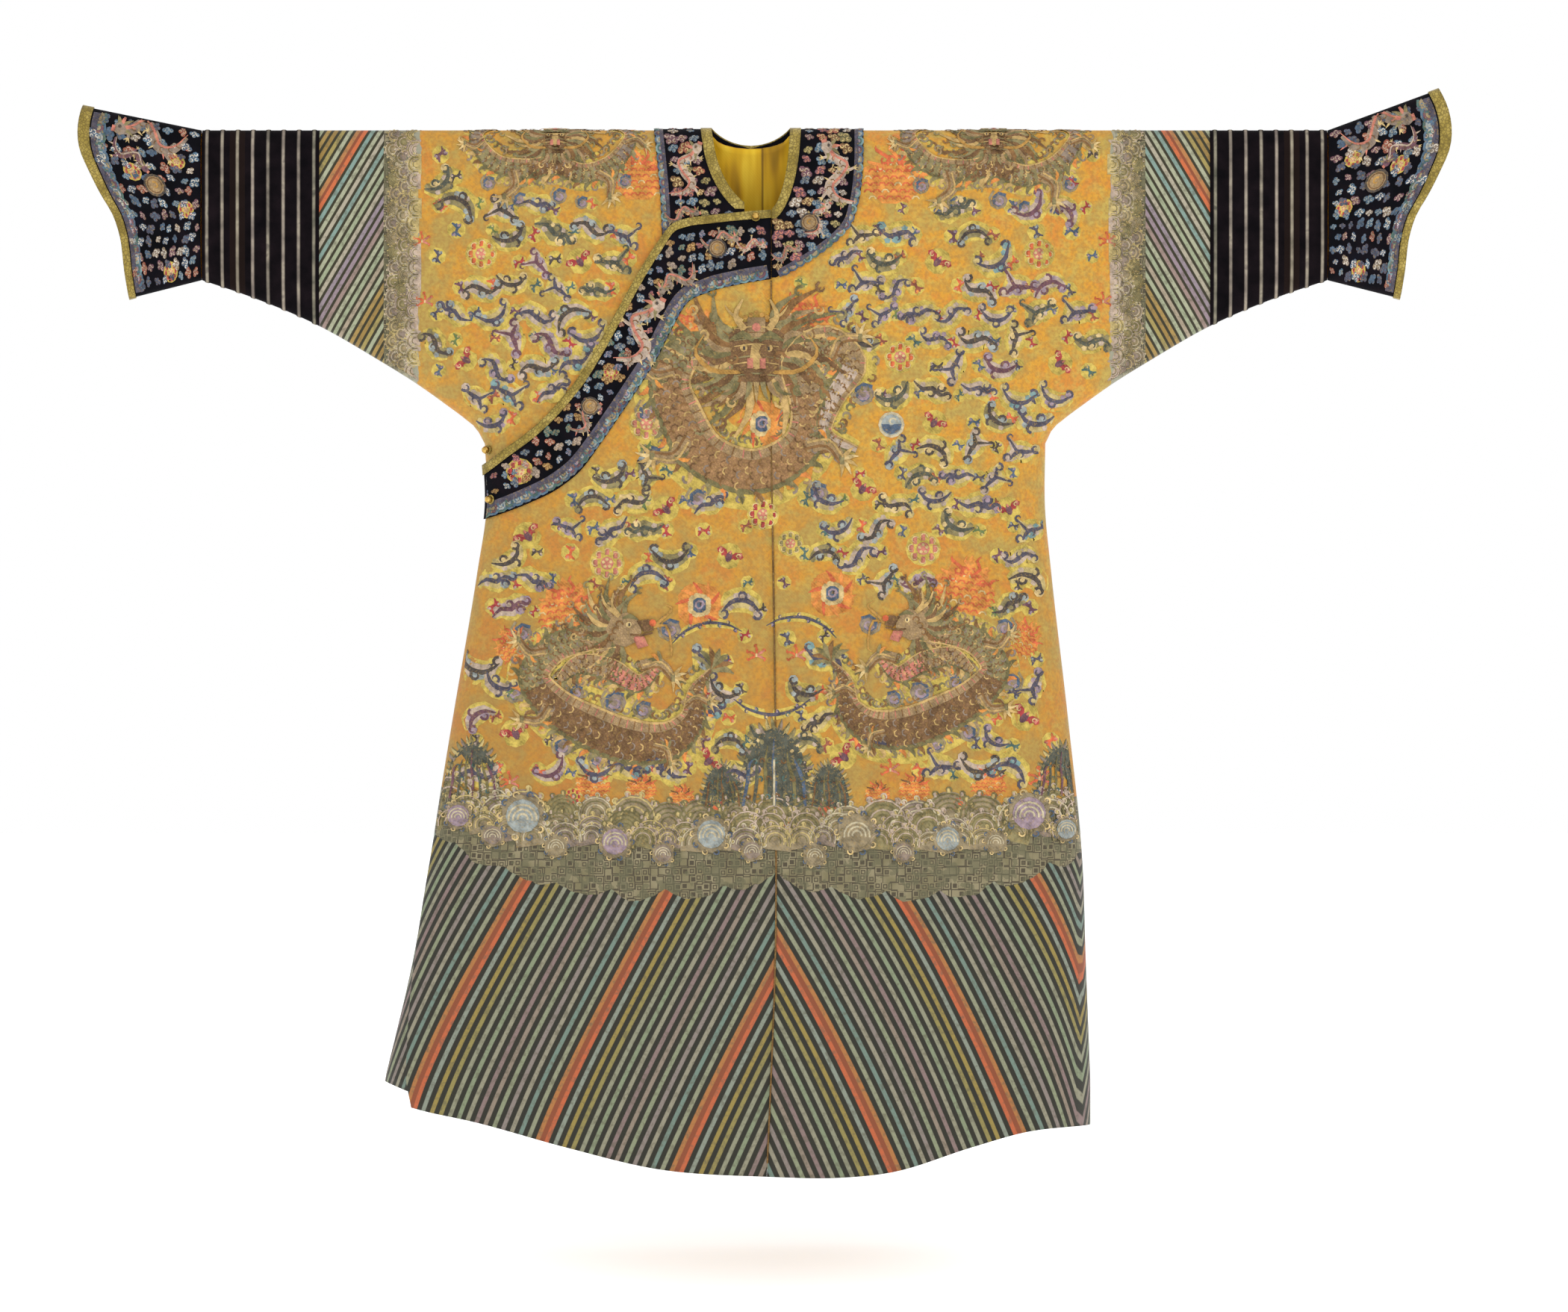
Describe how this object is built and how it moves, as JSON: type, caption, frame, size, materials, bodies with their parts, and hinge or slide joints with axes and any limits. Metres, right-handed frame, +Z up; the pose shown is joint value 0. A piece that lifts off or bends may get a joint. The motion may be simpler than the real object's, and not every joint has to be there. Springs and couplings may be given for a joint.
{
  "type": "chinese dragon robe, hollow as worn with no wearer",
  "caption": "Long silk court robe with a curved overlap to one side, straight sleeves, ribbed sleeve extensions and flared horse-hoof cuffs, hollow as worn.",
  "frame": {"origin": "middle of the shoulder line, in the fold of the cloth at the neck", "axes": "+X towards the wearer's left sleeve, -Y out of the front, +Z up"},
  "size_m": [1.8687, 0.2182, 1.479],
  "materials": {
    "yellow_silk": "satin weave silk, embroidered",
    "black_silk": "ribbed silk",
    "navy_silk": "embroidered silk",
    "gold_brocade": "metal-thread brocade",
    "yellow_lining": "plain silk",
    "gilt_brass": "worn gilt"
  },
  "bodies": {
    "root": {"body_half_right": "yellow_silk", "body_half_left": "yellow_silk", "overlap_front": "yellow_silk", "sleeve_extension_right": "black_silk", "sleeve_extension_left": "black_silk", "hoof_cuff_right": "navy_silk", "hoof_cuff_left": "navy_silk", "cuff_binding_right": "gold_brocade", "cuff_binding_left": "gold_brocade", "collar_band": "navy_silk", "overlap_band": "navy_silk", "neck_binding": "gold_brocade", "overlap_binding": "gold_brocade", "back_lining": "yellow_lining", "button_neck": "gilt_brass", "button_armpit": "gilt_brass", "button_side": "gilt_brass", "loop_neck": "gold_brocade", "loop_armpit": "gold_brocade", "loop_side": "gold_brocade"}
  },
  "joints": []
}
